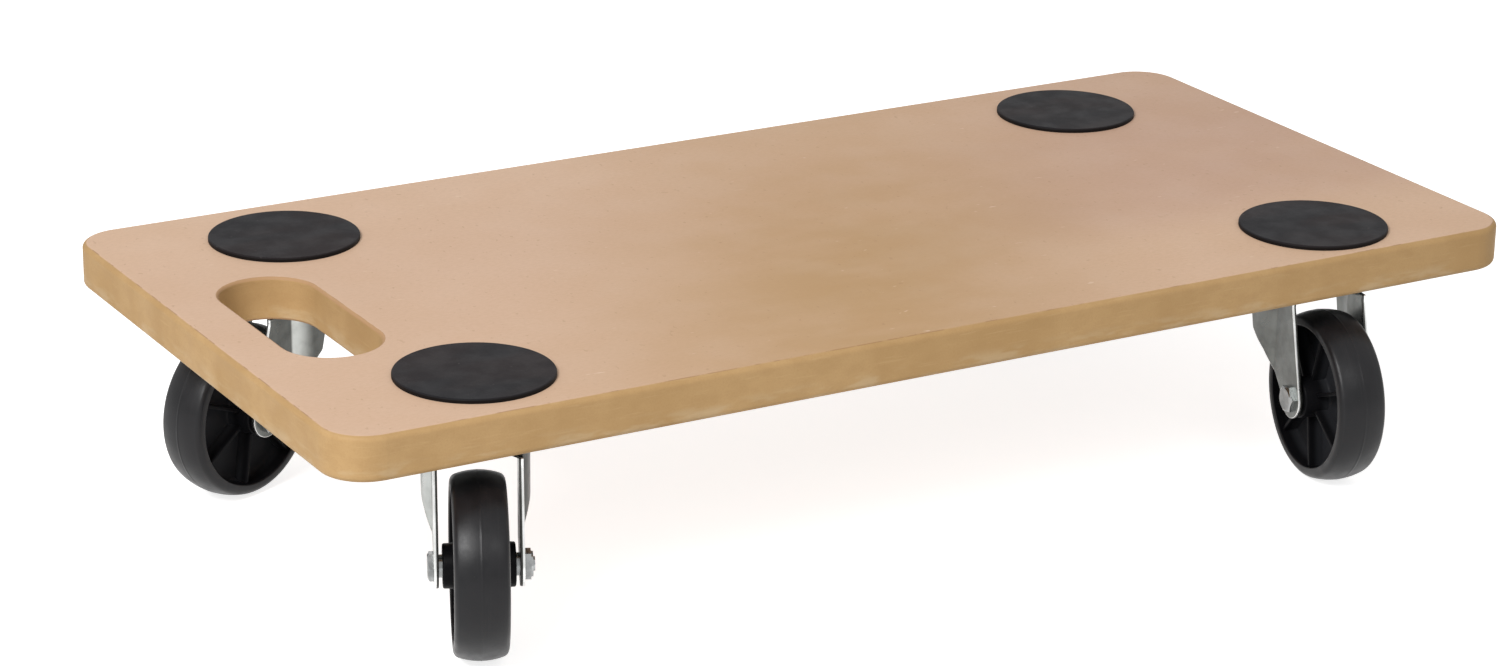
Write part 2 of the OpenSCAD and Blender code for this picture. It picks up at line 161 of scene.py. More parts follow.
class Paint:
    """A material being made. Most methods add a node or two and give back the output socket.

    place is a point's place in the object's frame. position, which the noise follows, is the same, or with
    own it is the point's place on its pattern.
    """

    def __init__(self, name, metallic=0.0, specular=0.5, own=False):
        self.material = bpy.data.materials.new(name)
        self.material.use_nodes = True
        self.tree = self.material.node_tree
        self.shader = self.tree.nodes["Principled BSDF"]
        self.shader.inputs["Metallic"].default_value = metallic
        self.shader.inputs["Specular IOR Level"].default_value = specular
        coordinates = self.tree.nodes.new("ShaderNodeTexCoord")
        self.place = coordinates.outputs["Object"]
        self.position = self.place
        self.normal = coordinates.outputs["Normal"]
        if own:
            attribute = self.tree.nodes.new("ShaderNodeAttribute")
            attribute.attribute_name = OWN_PLACE
            self.position = attribute.outputs["Vector"]

    def feed(self, socket, value):
        """Link a node's output to the socket, or set it to a plain value."""
        if isinstance(value, bpy.types.NodeSocket):
            self.tree.links.new(value, socket)
        else:
            socket.default_value = value

    def math(self, operation, first, second=0.0):
        """The result of a sum, product or the like."""
        node = self.tree.nodes.new("ShaderNodeMath")
        node.operation = operation
        self.feed(node.inputs[0], first)
        self.feed(node.inputs[1], second)
        return node.outputs[0]

    def part(self, vector, axis):
        """The vector's X, Y or Z, for axis 0, 1 or 2."""
        node = self.tree.nodes.new("ShaderNodeSeparateXYZ")
        self.feed(node.inputs[0], vector)
        return node.outputs[axis]

    def spread(self, value, low, high, to_low=0.0, to_high=1.0):
        """The value, carried smoothly from low..high to to_low..to_high and held at both ends."""
        node = self.tree.nodes.new("ShaderNodeMapRange")
        node.interpolation_type = "SMOOTHSTEP"
        self.feed(node.inputs["Value"], value)
        limits = {"From Min": low, "From Max": high, "To Min": to_low, "To Max": to_high}
        for name, number in limits.items():
            node.inputs[name].default_value = number
        return node.outputs["Result"]

    def noise(self, size, stretch=(1, 1, 1), detail=3.0, roughness=0.55, shift=0.0):
        """Noise with grains about size metres across, drawn out along each axis by stretch."""
        mapping = self.tree.nodes.new("ShaderNodeMapping")
        mapping.inputs["Location"].default_value = (shift, shift * 1.7, shift * 0.6)
        mapping.inputs["Scale"].default_value = [1 / (size * pull) for pull in stretch]
        self.feed(mapping.inputs["Vector"], self.position)
        node = self.tree.nodes.new("ShaderNodeTexNoise")
        node.inputs["Scale"].default_value = 1.0
        node.inputs["Detail"].default_value = detail
        node.inputs["Roughness"].default_value = roughness
        self.feed(node.inputs["Vector"], mapping.outputs[0])
        return node.outputs["Fac"]

    def mix(self, factor, first, second):
        """The first colour where factor is 0, and the second where it is 1."""
        node = self.tree.nodes.new("ShaderNodeMix")
        node.data_type = "RGBA"
        self.feed(node.inputs[0], factor)
        self.feed(node.inputs[6], first)
        self.feed(node.inputs[7], second)
        return node.outputs[2]

    def bump(self, height, depth, strength=1.0):
        """Raise the surface by height, which is 0 to 1, times depth metres."""
        node = self.tree.nodes.new("ShaderNodeBump")
        node.inputs["Strength"].default_value = strength
        node.inputs["Distance"].default_value = depth
        self.feed(node.inputs["Height"], height)
        self.tree.links.new(node.outputs[0], self.shader.inputs["Normal"])

    def finish(self, colour, roughness):
        """The finished material, of that colour and roughness."""
        self.feed(self.shader.inputs["Base Color"], colour)
        self.feed(self.shader.inputs["Roughness"], roughness)
        return self.material


def board_tone(p):
    """Pale and pinkish at the ends, with a darker slanting band of painted shade across the middle,
    yellowest in front.
    """
    along = p.part(p.position, 0)
    across = p.part(p.position, 1)
    band = p.mix(p.spread(across, -0.08, 0.10), srgb(190, 154, 112), srgb(202, 166, 132))
    right = p.mix(p.spread(across, -0.10, -0.03), srgb(220, 186, 158), srgb(205, 170, 148))
    ends = p.mix(p.spread(along, 0.0, 0.14), srgb(215, 182, 156), right)
    # Painted shade: the darker slanting band across the middle of the faces
    slant = p.math("SUBTRACT", along, p.math("MULTIPLY", across, PAINTED_SHADE_SLANT))
    from_band = p.math("ABSOLUTE", p.math("SUBTRACT", slant, PAINTED_SHADE_X))
    colour = p.mix(p.spread(from_band, 0.0, 0.18), band, ends)
    return p.mix(p.spread(across, 0.04, 0.13, 0.0, 0.25), colour, srgb(232, 200, 172))


def board_face_colour(p):
    """Sanded fibre board: soft patches, fine fibres, a few darker bundles and sparse pale scuffs."""
    patches = p.spread(p.noise(0.15, detail=2, shift=3.1), 0.36, 0.64, 0.0, 0.10)
    colour = p.mix(patches, board_tone(p), srgb(180, 144, 104))
    clouds = p.spread(p.noise(0.030, stretch=(2.5, 1, 1), detail=3, shift=1.3), 0.38, 0.68, 0.0, 0.20)
    colour = p.mix(clouds, colour, srgb(212, 177, 148))
    fibres = p.noise(0.0013, stretch=(2.2, 1, 1), detail=4, roughness=0.7)
    colour = p.mix(p.spread(fibres, 0.35, 0.70, 0.0, 0.16), colour, srgb(178, 143, 110))
    bundles = p.spread(p.noise(0.0022, stretch=(1, 1.8, 1), detail=1, shift=8.0), 0.71, 0.78, 0.0, 0.22)
    colour = p.mix(bundles, colour, srgb(150, 112, 78))
    scuffs = p.spread(p.noise(0.0030, stretch=(3, 1, 1), detail=2, shift=5.0), 0.72, 0.78, 0.0, 0.55)
    return p.mix(scuffs, colour, srgb(228, 202, 178))


def board_edge_colour(p):
    """Moulded edge: yellower than the face, with soft bands across it and a few rubbed streaks along it."""
    bands = p.spread(p.noise(0.030, stretch=(1, 1, 3), detail=2, shift=5.0), 0.36, 0.66)
    colour = p.mix(bands, srgb(181, 146, 99), srgb(190, 155, 108))
    clouds = p.spread(p.noise(0.006, stretch=(1.6, 1.6, 1), detail=3), 0.38, 0.70, 0.0, 0.40)
    colour = p.mix(clouds, colour, srgb(175, 140, 94))
    streaks = p.spread(p.noise(0.0012, stretch=(16, 16, 1), detail=3), 0.58, 0.74, 0.0, 0.22)
    colour = p.mix(streaks, colour, srgb(207, 175, 131))
    fibres = p.spread(p.noise(0.0009, detail=3, roughness=0.7), 0.42, 0.72, 0.0, 0.22)
    colour = p.mix(fibres, colour, srgb(168, 128, 84))
    low = p.spread(p.part(p.position, 2), BOARD_LOW.z + 0.003, BOARD_LOW.z + 0.009, 1.0, 0.0)
    rubbed = p.spread(p.noise(0.010, stretch=(2, 2, 0.5), detail=4, shift=9.0), 0.44, 0.62, 0.0, 0.40)
    return p.mix(p.math("MULTIPLY", low, rubbed), colour, srgb(203, 180, 146))


def near_hole(p):
    """1 round the hand hole, by the left end, and 0 elsewhere."""
    along = p.spread(p.part(p.position, 0), BOARD_LOW.x + 0.015, BOARD_LOW.x + 0.021)
    inside = p.spread(p.part(p.position, 0), BOARD_LOW.x + 0.072, BOARD_LOW.x + 0.078, 1.0, 0.0)
    across = p.spread(p.math("ABSOLUTE", p.part(p.position, 1)), 0.057, 0.062, 1.0, 0.0)
    return p.math("MULTIPLY", p.math("MULTIPLY", along, inside), across)


def board_material():
    """Fibre board: flat faces, moulded edges, a worn dark arris between them, and the hole's rim."""
    p = Paint("fibre_board", specular=0.2)
    upright = p.math("ABSOLUTE", p.part(p.normal, 2))
    face = p.spread(upright, 0.90, 0.985)
    colour = p.mix(face, board_edge_colour(p), board_face_colour(p))
    arris = p.math("MULTIPLY", p.spread(upright, 0.90, 0.95), p.spread(upright, 0.96, 0.99, 1.0, 0.0))
    worn = p.spread(p.noise(0.012, detail=4, shift=2.0), 0.46, 0.58, 0.0, 0.6)
    colour = p.mix(p.math("MULTIPLY", arris, worn), colour, srgb(140, 100, 66))
    rim = p.math("MULTIPLY", p.spread(upright, 0.15, 0.45), p.spread(upright, 0.90, 0.99, 1.0, 0.0))
    colour = p.mix(p.math("MULTIPLY", rim, near_hole(p)), colour, srgb(182, 144, 106))
    grain = p.noise(0.0009, detail=4, roughness=0.65)
    p.bump(grain, 0.00010, 0.5)
    return p.finish(colour, p.spread(p.noise(0.03, detail=3), 0.3, 0.7, 0.52, 0.68))


def rubber_material():
    """Matt black rubber with faint purple and blue patches, a little dust, and painted shade on its side
    wall.
    """
    p = Paint("pad_rubber", specular=0.12)
    patches = p.spread(p.noise(0.026, stretch=(2, 1, 1), detail=2), 0.35, 0.65)
    colour = p.mix(patches, srgb(30, 24, 25), srgb(24, 23, 26))
    dust = p.spread(p.noise(0.0016, detail=1, shift=4.0), 0.76, 0.82, 0.0, 0.35)
    colour = p.mix(dust, colour, srgb(120, 112, 106))
    # Painted shade: the side wall, turned away from above, is darkened
    upper = p.spread(p.part(p.normal, 2), 0.2, 0.9)
    colour = p.mix(upper, srgb(15, 12, 12), colour)
    p.bump(p.noise(0.0006, detail=3, roughness=0.6), 0.0001, 0.6)
    return p.finish(colour, p.spread(p.noise(0.012, detail=4), 0.3, 0.7, 0.54, 0.66))


def plastic_finish(p, colour):
    """A fine moulded grain over the colour, with softly varied gloss."""
    p.bump(p.noise(0.0007, detail=3), 0.00006, 0.5)
    return p.finish(colour, p.spread(p.noise(0.006, detail=4), 0.3, 0.7, 0.34, 0.44))


def rim_material():
    """Black moulded plastic of the wheel's rim and tread: satin, faintly ringed, with a few pale rubs."""
    p = Paint("moulded_plastic", specular=0.30, own=True)
    clouds = p.spread(p.noise(0.012, detail=3), 0.35, 0.65)
    colour = p.mix(clouds, srgb(13, 13, 16), srgb(17, 16, 19))
    rings = p.spread(p.noise(0.0008, stretch=(60, 60, 1), detail=2, shift=2.0), 0.55, 0.75, 0.0, 0.30)
    colour = p.mix(rings, colour, srgb(33, 32, 34))
    rubs = p.spread(p.noise(0.0022, detail=2, shift=6.0), 0.74, 0.80, 0.0, 0.35)
    return plastic_finish(p, p.mix(rubs, colour, srgb(84, 82, 82)))


def recess_material():
    """The same plastic in the wheel's recessed sides: dull and cloudy, with painted light on the sunken web
    and painted shade towards the ribs' edges.
    """
    p = Paint("recessed_plastic", specular=0.04, own=True)
    height = p.math("ABSOLUTE", p.part(p.position, 2))
    # Painted light and shade: the sunken web is lighter and the ribs' raised edges darker, evening out how
    # they are lit
    raised = p.spread(height, 1.5 * WEB_HALF * MM, 3 * WEB_HALF * MM)
    colour = p.mix(raised, srgb(44, 45, 48), srgb(17, 17, 19))
    clouds = p.spread(p.noise(0.012, detail=3), 0.35, 0.65, 0.0, 0.15)
    return plastic_finish(p, p.mix(clouds, colour, srgb(30, 29, 31)))


def zinc_finish(p, light, dark, roughness, streak):
    """Clouds of the light and dark shades, with streaks of the dark and scratches of the light one."""
    clouds = p.spread(p.noise(0.009, detail=4), 0.35, 0.68)
    colour = p.mix(clouds, light, dark)
    rolled = p.noise(streak, stretch=(1, 1, 14), detail=3, shift=3.0)
    colour = p.mix(p.spread(rolled, 0.45, 0.75, 0.0, 0.20), colour, dark)
    scratches = p.spread(p.noise(0.0006, stretch=(1, 9, 1), detail=2, shift=7.0), 0.70, 0.78, 0.0, 0.30)
    colour = p.mix(scratches, colour, light)
    p.bump(rolled, 0.00003, 0.2)
    rough = p.spread(p.noise(0.005, detail=3, shift=1.0), 0.3, 0.7, roughness - 0.05, roughness + 0.06)
    return p.finish(colour, rough)


def zinc_material(name, light, dark, roughness, streak=ROLLED_STREAK, own=False):
    """Plated steel: cloudy passivation, faint rolled streaks and fine scratches."""
    p = Paint(name, metallic=1.0, own=own)
    return zinc_finish(p, light, dark, roughness, streak)


def sheet_material():
    """The forks' plated sheet, with painted light: lighter where it faces the hand hole's end, as a painted
    reflection.

    The other sides and the two right-hand forks are darker, as painted shade, and the front left fork has
    more painted shade.
    """
    p = Paint("zinc_sheet", metallic=1.0, own=True)
    # Painted light: faces turned to the left get the lighter colour, a painted reflection; the others keep
    # the darker one, painted shade
    leftward = p.math("MULTIPLY", p.part(p.normal, 0), -1.0)
    painted_light = p.math("MULTIPLY", p.spread(leftward, -0.34, 0.22), p.spread(leftward, 0.3, 0.9, 1.0, 0.7))
    left = p.spread(p.part(p.place, 0), -0.05, 0.05, 1.0, 0.0)
    front = p.spread(p.part(p.place, 1), -0.05, 0.05, 1.0, 0.0)
    # Painted shade: the two right-hand forks get little of the painted light
    painted_light = p.math("MULTIPLY", painted_light, p.spread(left, 0.0, 1.0, 0.12, 1.0))
    light = p.mix(painted_light, srgb(106, 109, 107), srgb(216, 220, 217))
    dark = p.mix(painted_light, srgb(88, 90, 88), srgb(196, 200, 197))
    # Painted shade: the front left fork is darkened further towards the dull colour
    shade = p.math("MULTIPLY", p.math("MULTIPLY", left, front), p.spread(painted_light, 0.0, 0.7, 0.65, 0.27))
    dull = srgb(45, 47, 46)
    return zinc_finish(p, p.mix(shade, light, dull), p.mix(shade, dark, dull), 0.32, ROLLED_STREAK)


# ---- Mesh helpers ----

def mesh_object(name, bm, material_list, sharp_degrees=30):
    """An object of the mesh, shaded smooth but for edges sharper than that angle. The bmesh is used up."""
    mesh = bpy.data.meshes.new(name)
    bm.to_mesh(mesh)
    bm.free()
    for polygon in mesh.polygons:
        polygon.use_smooth = True
    mesh.set_sharp_from_angle(angle=math.radians(sharp_degrees))
    for material in material_list:
        mesh.materials.append(material)
    obj = bpy.data.objects.new(name, mesh)
    bpy.context.scene.collection.objects.link(obj)
    return obj


def boolean(obj, tool, operation, sharp_degrees):
    """The object's mesh joined with the tool or cut by it. The tool is used up."""
    modifier = obj.modifiers.new(operation.lower(), "BOOLEAN")
    modifier.operation = operation
    modifier.solver = "EXACT"
    modifier.object = tool
    bpy.context.view_layer.update()
    graph = bpy.context.evaluated_depsgraph_get()
    mesh = bpy.data.meshes.new_from_object(obj.evaluated_get(graph))
    obj.modifiers.clear()
    obj.data = mesh
    mesh.set_sharp_from_angle(angle=math.radians(sharp_degrees))
    bpy.data.objects.remove(tool)


def vertex_row(bm, points):
    """Vertices at points given in mm."""
    return [bm.verts.new(Vector(p) * MM) for p in points]


def faces_between(bm, rows, closed=False, material=0):
    """Faces between neighbouring rows of vertices, and round each row where it is closed."""
    for first, second in zip(rows, rows[1:]):
        count = len(first)
        for i in range(count if closed else count - 1):
            j = (i + 1) % count
            face = bm.faces.new((first[i], first[j], second[j], second[i]))
            face.material_index = material


def rounded(points, radii, steps=6):
    """A flat path through the points, with an arc of the given radius at each inner one."""
    path = [Vector(points[0])]
    for before, here, after, radius in zip(points, points[1:], points[2:], radii):
        here = Vector(here)
        back = (Vector(before) - here).normalized()
        on = (Vector(after) - here).normalized()
        half = back.angle(on) / 2
        centre = here + (back + on).normalized() * (radius / math.sin(half))
        start = here + back * (radius / math.tan(half)) - centre
        end = here + on * (radius / math.tan(half)) - centre
        turn = start.angle_signed(end)
        path += [centre + Matrix.Rotation(-turn * i / steps, 2) @ start for i in range(steps + 1)]
    path.append(Vector(points[-1]))
    return path


def arc(centre, radius, start, end, steps):
    """Points on an arc, from angle start to angle end."""
    return [Vector((centre[0] + radius * math.cos(a), centre[1] + radius * math.sin(a)))
            for a in np.linspace(start, end, steps + 1)]


def resampled(path, spacing):
    """The same path with points about spacing apart."""
    lengths = np.cumsum([0] + [(b - a).length for a, b in zip(path, path[1:])])
    count = max(2, round(lengths[-1] / spacing))
    places = np.linspace(0, lengths[-1], count + 1)
    return np.stack([np.interp(places, lengths, [p[i] for p in path]) for i in (0, 1)], axis=1)


# ---- The pressed fork ----

class ForkPlan:
    """Half the fork's outline from above, in mm: round back, bulging shoulder, crease, straight leg."""

    def __init__(self):
        rise = LEG_OUTER + CREASE_RADIUS
        reach = SHOULDER_RADIUS + CREASE_RADIUS
        tangent = math.asin(rise / reach)
        crease = (BULGE_FORWARD + reach * math.cos(tangent), rise)
        shoulder = (BULGE_FORWARD, 0)
        back_arc = arc((0, 0), SHOULDER_RADIUS, math.pi, math.pi / 2, 32)
        shoulder_arc = arc(shoulder, SHOULDER_RADIUS, math.pi / 2, tangent, 24)
        crease_arc = arc(crease, CREASE_RADIUS, math.pi + tangent, 1.5 * math.pi, 8)[1:]
        leg_end = Vector((TRAIL + 2 * LEG_END_RADIUS, LEG_OUTER))
        outward = [p.normalized() for p in back_arc]
        outward += [(p - Vector(shoulder)).normalized() for p in shoulder_arc]
        outward += [(Vector(crease) - p).normalized() for p in crease_arc]
        self.points = back_arc + shoulder_arc + crease_arc + [leg_end]
        self.outward = outward + [Vector((0, 1))]
        steps = [(b - a).length for a, b in zip(self.points, self.points[1:])]
        self.lengths = np.cumsum([0] + steps)

    def along(self, x):
        """Distance along the outline of its point at x."""
        return float(np.interp(x, [p.x for p in self.points], self.lengths))

    def at(self, along, vectors):
        """What the outline's vectors come to at that distance along it."""
        return Vector([float(np.interp(along, self.lengths, [v[i] for v in vectors])) for i in (0, 1)])

    def wall_point(self, along, height, depth, lean=0.0, upright=0.0):
        """A point depth under the wall's outer face, where the wall leans in over the crown's bend.

        Where upright is 1 the wall stands straight, as high as the crown's upper face.
        """
        outward = self.at(along, self.outward).normalized()
        leaning = BEND_RADIUS * (1 - math.cos(lean)) + depth * math.cos(lean)
        place = self.at(along, self.points) - outward * (leaning + (depth - leaning) * upright)
        return (place.x, place.y, height + (BEND_RADIUS - depth * (1 - upright)) * math.sin(lean))


def fork_edge():
    """Side outline of a leg, in mm, from the back's middle along the lower edge to the leg's front."""
    top = Vector((LEG_TOP_REACH - TRAIL, CROWN_TOP - AXLE_HEIGHT))
    front_turn = math.atan2(top.y, top.x) - math.acos(LEG_END_RADIUS / top.length)
    end = arc((TRAIL, AXLE_HEIGHT), LEG_END_RADIUS, math.pi, 2 * math.pi + front_turn, 32)
    path = rounded(
        [(-SHOULDER_RADIUS, SKIRT_HEIGHT), (-SKIRT_REACH, SKIRT_HEIGHT), (LEG_REAR, LEG_REAR_HEIGHT),
         ELBOW, WAIST, end[0]],
        [2.0, 2.5, 10.0, 5.0])
    return path + end[1:]


def fork_wall(depth):
    """Columns of points of half the wall, in mm, depth under its outer face, from the crown down."""
    # Behind fan each column stands upright. In front of it they spread out between the leg's upper edge
    # and its round end.
    plan = ForkPlan()
    edge = resampled([Vector((plan.along(p.x), p.y)) for p in fork_edge()], EDGE_SPACING)
    fan, front = plan.along(WAIST[0] + 1), plan.along(LEG_TOP_REACH)
    crown_end = plan.along(CROWN_REACH)
    fan_start = int(np.argmax(edge[:, 0] > fan))
    bend_foot = CROWN_TOP - BEND_RADIUS
    columns = []
    for i, (foot_along, foot_height) in enumerate(edge):
        share = max(0.0, (i - fan_start) / (len(edge) - 1 - fan_start))
        top_along = foot_along if i < fan_start else fan + (front - fan) * share
        column = []
        for j in range(BEND_STEPS):
            rise = 1 - j / BEND_STEPS
            upright = min(1.0, max(0.0, (top_along - crown_end) / STANDING_UP))
            column.append(plan.wall_point(top_along, bend_foot, depth, rise * math.pi / 2, upright))
        for t in np.linspace(0, 1, WALL_STEPS + 1):
            along = top_along + (foot_along - top_along) * t
            height = bend_foot + (foot_height - bend_foot) * t
            column.append(plan.wall_point(along, height, depth))
        columns.append(column)
    return columns


def crown_height(radius):
    """Height in mm of the crown's upper face: grooved for the upper balls, raised over the lower ones."""
    upper = UPPER_GROOVE_DEPTH * max(0.0, 1 - ((radius - UPPER_GROOVE) / UPPER_GROOVE_HALF) ** 2)
    lower = LOWER_GROOVE_DEPTH * max(0.0, 1 - ((radius - LOWER_GROOVE) / LOWER_GROOVE_HALF) ** 2)
    return CROWN_TOP - upper + lower


def crown_front(corner, depth):
    """Points in mm along the crown's front edge, from the corner at +Y round to the one at -Y."""
    points = []
    for share in np.linspace(1, -1, CROWN_FRONT_STEPS + 1)[1:-1]:
        into_leg = abs(share) ** CORNER_SHARPNESS
        x = CROWN_REACH + (corner[0] - CROWN_REACH) * into_leg
        points.append((x, corner[1] * share, CROWN_TOP - depth * (1 - into_leg)))
    return points


def sheet_face(bm, depth):
    """One face of the fork's sheet, depth mm under the outer one.

    Gives the vertices round its legs and skirt, along the crown's front, and round the kingpin's bore.
    """
    columns = fork_wall(depth)
    mirrored = [[(x, -y, z) for x, y, z in column] for column in columns[:0:-1]]
    wall = [vertex_row(bm, column) for column in mirrored + columns]
    faces_between(bm, wall)
    front = vertex_row(bm, crown_front(columns[-1][0], depth))
    rows = [[column[0] for column in wall] + front]
    directions = [Vector((v.co.x, v.co.y)).normalized() for v in rows[0]]
    for radius in np.linspace(BALL_RACE_RIM, KINGPIN_BORE, CROWN_RINGS):
        height = crown_height(radius) - depth
        rows.append(vertex_row(bm, [(radius * d.x, radius * d.y, height) for d in directions]))
    faces_between(bm, rows, closed=True)
    lower = [column[-1] for column in wall[1:-1]]
    return wall[0] + lower + wall[-1][::-1], front, rows[-1]


def close_rim(bm, outer, inner, crown_from):
    """The sheet's cut edge: a soft bulge, smooth with a painted highlight on its outer half, torn with
    painted shade on its inner half.

    From crown_from on it is the crown's front, which keeps the sheet's own finish.
    """
    count = len(outer)
    outward = []
    for i in range(count):
        along = outer[(i + 1) % count].co - outer[i - 1].co
        outward.append(along.cross(inner[i].co - outer[i].co).normalized())
    lowest = min(range(count), key=lambda i: outer[i].co.z)
    sign = -math.copysign(1, outward[lowest].z)
    rows = [outer]
    for a in np.linspace(0, math.pi, RIM_STEPS + 1)[1:-1]:
        through = (1 - math.cos(a)) / 2
        bulge = sign * RIM_BULGE * MM * math.sqrt(math.sin(a))
        rows.append([bm.verts.new(o.co.lerp(i.co, through) + way * bulge)
                     for o, i, way in zip(outer, inner, outward)])
    rows.append(inner)
    middle = len(rows) // 2
    crown = [row[crown_from:] + row[:1] for row in rows]
    legs = [row[:crown_from + 1] for row in rows]
    faces_between(bm, crown)
    # The outer half's near-white colour is a painted highlight, the inner half's dark colour painted shade
    faces_between(bm, legs[:middle + 1], material=1)
    faces_between(bm, legs[middle:], material=2)


def axle_cutter():
    """A bar of the axle hole's size through both legs."""
    bm = bmesh.new()
    across = AXLE_MIDDLE @ Matrix.Rotation(math.pi / 2, 4, "X")
    bmesh.ops.create_cone(bm, cap_ends=True, segments=48, radius1=AXLE_HOLE * MM, radius2=AXLE_HOLE * MM,
                          depth=4 * LEG_OUTER * MM, matrix=across)
    return mesh_object("axle_cutter", bm, [], FORK_SHARP)


def fork_pattern(sheet, cut_rim_painted_highlight, torn_rim_painted_shade):
    """The fork's mesh in its own frame: a pressed sheet with soft cut edges and a hole for the axle."""
    bm = bmesh.new()
    outer, outer_front, outer_bore = sheet_face(bm, 0.0)
    inner, inner_front, inner_bore = sheet_face(bm, FORK_SHEET)
    close_rim(bm, outer + outer_front, inner + inner_front, len(outer) - 1)
    faces_between(bm, [outer_bore, inner_bore], closed=True)
    bmesh.ops.recalc_face_normals(bm, faces=bm.faces)
    fork = mesh_object("fork_pattern", bm, [sheet, cut_rim_painted_highlight, torn_rim_painted_shade], FORK_SHARP)
    boolean(fork, axle_cutter(), "DIFFERENCE", FORK_SHARP)
    return fork


# ---- The moulded wheel ----

def wheel_profile():
    """Half section of the wheel's body in mm, (radius, place along the axle), as one closed loop."""
    hub = rounded(
        [(SLEEVE_BORE, 0), (SLEEVE_BORE, BOSS_HALF), (BOSS_RADIUS, BOSS_HALF),
         (BOSS_RADIUS + BOSS_FLARE, WEB_HALF), (RECESS_FOOT, WEB_HALF),
         (RECESS_MOUTH, WHEEL_HALF), (WHEEL_RADIUS, WHEEL_HALF)],
        [0.4, 0.8, 1.4, 1.8, 0.7])
    crown_centre = WHEEL_RADIUS - SEAM_HEIGHT - TREAD_CROWN
    place = WHEEL_HALF - TREAD_SHOULDER
    reach = math.sqrt((TREAD_CROWN - TREAD_SHOULDER) ** 2 - place ** 2)
    lean = math.atan2(place, reach)
    shoulder = arc((crown_centre + reach, place), TREAD_SHOULDER, math.pi / 2, lean, 8)
    tread = arc((crown_centre, 0), TREAD_CROWN, lean, SEAM_HALF / TREAD_CROWN, 12)[1:]
    seam = [Vector((WHEEL_RADIUS, SEAM_HALF / 3))]
    half = hub[1:-1] + shoulder + tread + seam
    return half + [Vector((p.x, -p.y)) for p in reversed(half)]


def lathe(profile, segments):
    """A ring turned round the Z axis from a closed profile."""
    bm = bmesh.new()
    rows = [vertex_row(bm, [(p.x * math.cos(a), p.x * math.sin(a), p.y) for p in profile])
            for a in np.linspace(0, 2 * math.pi, segments, endpoint=False)]
    faces_between(bm, rows + rows[:1], closed=True)
    bmesh.ops.recalc_face_normals(bm, faces=bm.faces)
    return bm


def rib_tool():
    """All the ribs as rounded bars, each from the hub boss into the rim and right through the web."""
    bm = bmesh.new()
    inner, outer = BOSS_RADIUS - RIB_ROOT, RECESS_RADIUS + RIB_ROOT
    size = (outer - inner, RIB_THICKNESS, 2 * (WHEEL_HALF - RIB_DROP))
    for i in range(RIBS):
        place = (Matrix.Rotation(math.radians(RIB_TURN) + i * 2 * math.pi / RIBS, 4, "Z")
                 @ Matrix.Translation(Vector(((inner + outer) / 2, 0, 0)) * MM)
                 @ Matrix.Diagonal([s * MM for s in size] + [1]))
        bmesh.ops.create_cube(bm, size=1, matrix=place)
    bmesh.ops.bevel(bm, geom=bm.edges, offset=RIB_ROUNDING * MM, segments=3, profile=0.5, affect="EDGES")
    return mesh_object("rib_tool", bm, [], WHEEL_SHARP)


def wheel_pattern(rim, recess):
    """The wheel's mesh in the axle's frame: crowned tread, recessed sides, hub boss and ribs."""
    wheel = mesh_object("wheel_pattern", lathe(wheel_profile(), WHEEL_SEGMENTS), [rim, recess], WHEEL_SHARP)
    boolean(wheel, rib_tool(), "UNION", WHEEL_SHARP)
    for polygon in wheel.data.polygons:
        polygon.material_index = int(polygon.center.xy.length < RECESS_RADIUS * MM)
    return wheel


# ---- Placing ----

def swivel_place(corner):
    """The swivel's own frame at rest: X towards the wheel, Z up, on the floor."""
    swivel = Vector(JOINTS[f"swivel_{corner}"]["pos_m"])
    axle = Vector(JOINTS[f"wheel_spin_{corner}"]["pos_m"])
    heading = math.atan2(axle.y - swivel.y, axle.x - swivel.x)
    return Matrix.Translation((swivel.x, swivel.y, 0)) @ Matrix.Rotation(heading, 4, "Z")


def axle_place(corner):
    """The axle's own frame at rest: Z along the axle towards its nut, and the swivel's -Z as Y."""
    return swivel_place(corner) @ AXLE_MIDDLE @ Matrix.Rotation(-math.pi / 2, 4, "X")


def placed_mesh(pattern, matrix):
    """A copy of the pattern's mesh moved to its place, which keeps each point's place on the pattern."""
    mesh = pattern.data.copy()
    points = np.empty(3 * len(mesh.vertices), dtype=np.float32)
    mesh.vertices.foreach_get("co", points)
    mesh.attributes.new(OWN_PLACE, "FLOAT_VECTOR", "POINT").data.foreach_set("vector", points)
    mesh.transform(matrix)
    return mesh


def add_piece(name, pattern, matrix, body, node):
    """The pattern at its place, as a piece that rides on the body and stands for the CAD node."""
    piece = bpy.data.objects.new(name, placed_mesh(pattern, matrix))
    bpy.context.scene.collection.objects.link(piece)
    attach(piece, body)
    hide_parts(node)


def add_forks(sheet, cut_rim_painted_highlight, torn_rim_painted_shade):
    """A pressed fork in place of each caster's CAD fork."""
    pattern = fork_pattern(sheet, cut_rim_painted_highlight, torn_rim_painted_shade)
    for corner in CORNERS:
        add_piece(f"pressed_fork_{corner}", pattern, swivel_place(corner), f"caster_{corner}",
                  f"fork_{corner}")
    bpy.data.objects.remove(pattern)


def add_wheels(rim, recess):
    """A moulded wheel in place of each CAD wheel."""
    pattern = wheel_pattern(rim, recess)
    for corner in CORNERS:
        add_piece(f"moulded_wheel_{corner}", pattern, axle_place(corner), f"road_wheel_{corner}",
                  f"wheel_{corner}")
    bpy.data.objects.remove(pattern)


def dress(node, material):
    """Give a CAD node its material."""
    slots = frame["nodes"][node].data.materials
    slots.clear()
    slots.append(material)


